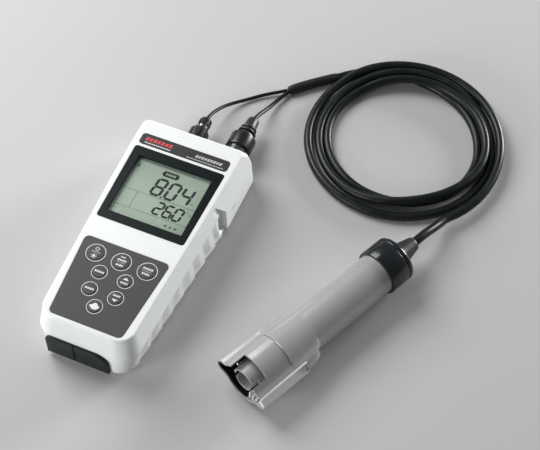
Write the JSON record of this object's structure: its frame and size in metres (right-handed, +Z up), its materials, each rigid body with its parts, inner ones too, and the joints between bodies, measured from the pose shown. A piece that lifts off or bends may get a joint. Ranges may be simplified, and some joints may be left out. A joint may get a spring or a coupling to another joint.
{
  "type": "handheld water quality meter with probe",
  "caption": "Handheld water quality meter with a plugged-in cylindrical probe on a coiled cable, folding stand, keys, port flaps and battery door.",
  "frame": {"origin": "on the surface, under the middle of the meter case, in the plane of its feet", "axes": "+X to the meter's right, +Y towards its connector end, +Z up out of its display"},
  "size_m": [0.2453, 0.3271, 0.0389],
  "materials": {
    "case_white": "satin moulded",
    "seal_black": "matt",
    "steel": "satin",
    "rubber_black": "matt",
    "header_grey": "semi-gloss print",
    "bezel_black": "gloss print",
    "window_clear": "clear",
    "lcd_glass": "reflective display",
    "holder_white": "matt",
    "keypad_grey": "fine matt film",
    "key_grey": "fine matt film",
    "mat_grey": "matt",
    "board_green": "solder mask",
    "chip_black": "matt",
    "nickel": "nickel plate",
    "plug_black": "semi-gloss",
    "collar_black": "semi-gloss",
    "boot_black": "satin",
    "cell_wrap": "shrink wrap",
    "cable_black": "satin jacket",
    "sleeve_black": "heat-shrink satin",
    "probe_grey": "satin moulded",
    "ring_black": "gloss",
    "relief_black": "satin",
    "base_dark": "matt",
    "bulb_glass": "clear",
    "graphite": "matt"
  },
  "bodies": {
    "meter": {"front_case": "case_white", "rear_case": "case_white", "case_gasket": "seal_black", "case_screws": "steel", "rubber_feet": "rubber_black", "header_plate": "header_grey", "display_bezel": "bezel_black", "display_window": "window_clear", "lcd_panel": "lcd_glass", "lcd_holder": "holder_white", "lcd_contacts": "seal_black", "keypad_overlay": "keypad_grey", "key_mat": "mat_grey", "switch_domes": "steel", "main_board": "board_green", "board_chips": "chip_black", "bnc_socket": "nickel", "round_socket": "nickel", "socket_nuts": "nickel", "usb_socket": "steel", "dc_jack": "plug_black", "battery_cells": "cell_wrap", "battery_contacts": "steel", "stand_pin": "steel", "bnc_plug": "nickel", "bnc_boot": "boot_black", "round_plug": "plug_black", "round_boot": "boot_black", "lead_left": "cable_black", "lead_right": "cable_black", "cord_sleeve": "sleeve_black", "cable_coil": "cable_black", "cable_tail": "cable_black", "probe_housing": "probe_grey", "strain_relief": "relief_black", "sensor_cup": "probe_grey", "sensor_base": "base_dark", "sensor_seal": "seal_black", "glass_bulb": "bulb_glass", "cell_pins": "graphite", "temperature_pin": "nickel", "probe_board": "board_green"},
    "key_down": {"key_down": "key_grey"},
    "key_enter": {"key_enter": "key_grey"},
    "key_light": {"key_light": "key_grey"},
    "key_measure": {"key_measure": "key_grey"},
    "key_mode": {"key_mode": "key_grey"},
    "key_power": {"key_power": "key_grey"},
    "key_setup": {"key_setup": "key_grey"},
    "key_up": {"key_up": "key_grey"},
    "port_cover_left": {"port_cover_left": "rubber_black"},
    "port_cover_right": {"port_cover_right": "rubber_black"},
    "battery_door": {"battery_door": "case_white", "door_seal": "seal_black"},
    "door_screw": {"door_screw": "steel"},
    "tilt_stand": {"tilt_stand": "case_white"},
    "bnc_collar": {"bnc_collar": "collar_black"},
    "coupling_nut": {"coupling_nut": "plug_black"},
    "cap_ring": {"cap_ring": "ring_black"}
  },
  "joints": [
    {"name": "key_power_press", "type": "slide", "parent": "meter", "child": "key_power", "axis": [0, 0, -1], "range_m": [0, 0.0005], "stiffness_N_per_m": 3000},
    {"name": "key_measure_press", "type": "slide", "parent": "meter", "child": "key_measure", "axis": [0, 0, -1], "range_m": [0, 0.0005], "stiffness_N_per_m": 3000},
    {"name": "key_enter_press", "type": "slide", "parent": "meter", "child": "key_enter", "axis": [0, 0, -1], "range_m": [0, 0.0005], "stiffness_N_per_m": 3000},
    {"name": "key_setup_press", "type": "slide", "parent": "meter", "child": "key_setup", "axis": [0, 0, -1], "range_m": [0, 0.0005], "stiffness_N_per_m": 3000},
    {"name": "key_up_press", "type": "slide", "parent": "meter", "child": "key_up", "axis": [0, 0, -1], "range_m": [0, 0.0005], "stiffness_N_per_m": 3000},
    {"name": "key_mode_press", "type": "slide", "parent": "meter", "child": "key_mode", "axis": [0, 0, -1], "range_m": [0, 0.0005], "stiffness_N_per_m": 3000},
    {"name": "key_down_press", "type": "slide", "parent": "meter", "child": "key_down", "axis": [0, 0, -1], "range_m": [0, 0.0005], "stiffness_N_per_m": 3000},
    {"name": "key_light_press", "type": "slide", "parent": "meter", "child": "key_light", "axis": [0, 0, -1], "range_m": [0, 0.0005], "stiffness_N_per_m": 3000},
    {"name": "port_cover_left_flap", "type": "hinge", "parent": "meter", "child": "port_cover_left", "pos_m": [-0.0158, -0.0892, 0.0034], "axis": [1, 0, 0], "range_deg": [0, 80]},
    {"name": "port_cover_right_flap", "type": "hinge", "parent": "meter", "child": "port_cover_right", "pos_m": [0.0065, -0.0892, 0.0034], "axis": [1, 0, 0], "range_deg": [0, 80]},
    {"name": "battery_door_lift", "type": "slide", "parent": "meter", "child": "battery_door", "axis": [0, 0, -1], "range_m": [0, 0.02]},
    {"name": "door_screw_turn", "type": "hinge", "parent": "battery_door", "child": "door_screw", "pos_m": [0, -0.0095, 0.002], "axis": [0, 0, -1], "continuous": true},
    {"name": "tilt_stand_fold", "type": "hinge", "parent": "meter", "child": "tilt_stand", "pos_m": [0, 0.07, 0.0035], "axis": [1, 0, 0], "range_deg": [0, 65]},
    {"name": "bnc_collar_turn", "type": "hinge", "parent": "meter", "child": "bnc_collar", "pos_m": [-0.0068, 0.098, 0.013], "axis": [0, 1, 0], "range_deg": [0, 75]},
    {"name": "coupling_nut_turn", "type": "hinge", "parent": "meter", "child": "coupling_nut", "pos_m": [0.0244, 0.107, 0.013], "axis": [0, 1, 0], "continuous": true},
    {"name": "cap_ring_turn", "type": "hinge", "parent": "meter", "child": "cap_ring", "pos_m": [0.1551, 0.04818, 0.0165], "axis": [0.4115, 0.9114, 0], "continuous": true}
  ]
}
